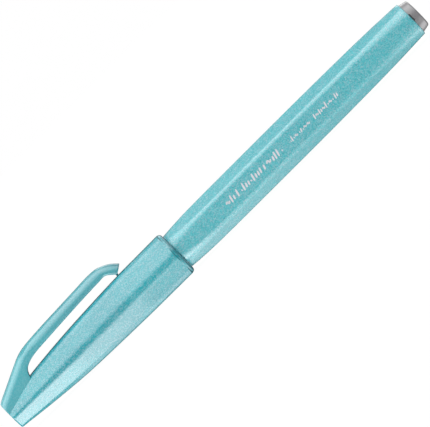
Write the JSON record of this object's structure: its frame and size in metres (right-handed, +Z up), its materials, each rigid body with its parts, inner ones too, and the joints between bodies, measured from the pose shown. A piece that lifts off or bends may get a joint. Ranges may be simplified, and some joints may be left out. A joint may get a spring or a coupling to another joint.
{
  "type": "calligraphy marker",
  "caption": "Capped brush-tip calligraphy marker with a hexagonal pearl body, a long arched sprung clip and a push-in tail plug.",
  "frame": {"origin": "centre of the closed marker's footprint, on the surface that the cap's lowest flat lies on", "axes": "+X along the pen from the cap's closed end to the tail plug, +Z up towards the clip, +Y across the pen, away from the face that carries the print"},
  "size_m": [0.138, 0.0132, 0.0174],
  "materials": {
    "pearl_plastic": "pearl, glossy",
    "grey_plastic": "satin",
    "liner_plastic": "satin, milky",
    "nib_fibre": "ink-stained fibre",
    "reservoir_fibre": "ink-soaked fibre",
    "film": "thin milky film"
  },
  "bodies": {
    "barrel": {"barrel": "pearl_plastic", "grip_section": "pearl_plastic", "nib_collar": "grey_plastic", "feed_rod": "nib_fibre", "ink_reservoir": "reservoir_fibre", "reservoir_film": "film", "tail_plug": "grey_plastic"},
    "liner": {"inner_cap": "liner_plastic"},
    "cap": {"cap_shell": "pearl_plastic"},
    "clip": {"clip_arm": "pearl_plastic"},
    "nib": {"brush_tip": "nib_fibre"}
  },
  "joints": [
    {"name": "cap_pull", "type": "slide", "parent": "barrel", "child": "liner", "axis": [-1, 0, 0], "range_m": [0, 0.05]},
    {"name": "cap_turn", "type": "hinge", "parent": "liner", "child": "cap", "pos_m": [-0.035, 0, 0.00616], "axis": [1, 0, 0], "continuous": true},
    {"name": "clip_flex", "type": "hinge", "parent": "cap", "child": "clip", "pos_m": [-0.0554, 0, 0.01438], "axis": [0, -1, 0], "range_deg": [0, 4], "stiffness_Nm_per_rad": 2},
    {"name": "nib_flex", "type": "hinge", "parent": "barrel", "child": "nib", "pos_m": [-0.042, 0, 0.00616], "axis": [0, 1, 0], "range_deg": [-12, 12], "stiffness_Nm_per_rad": 0.015}
  ]
}
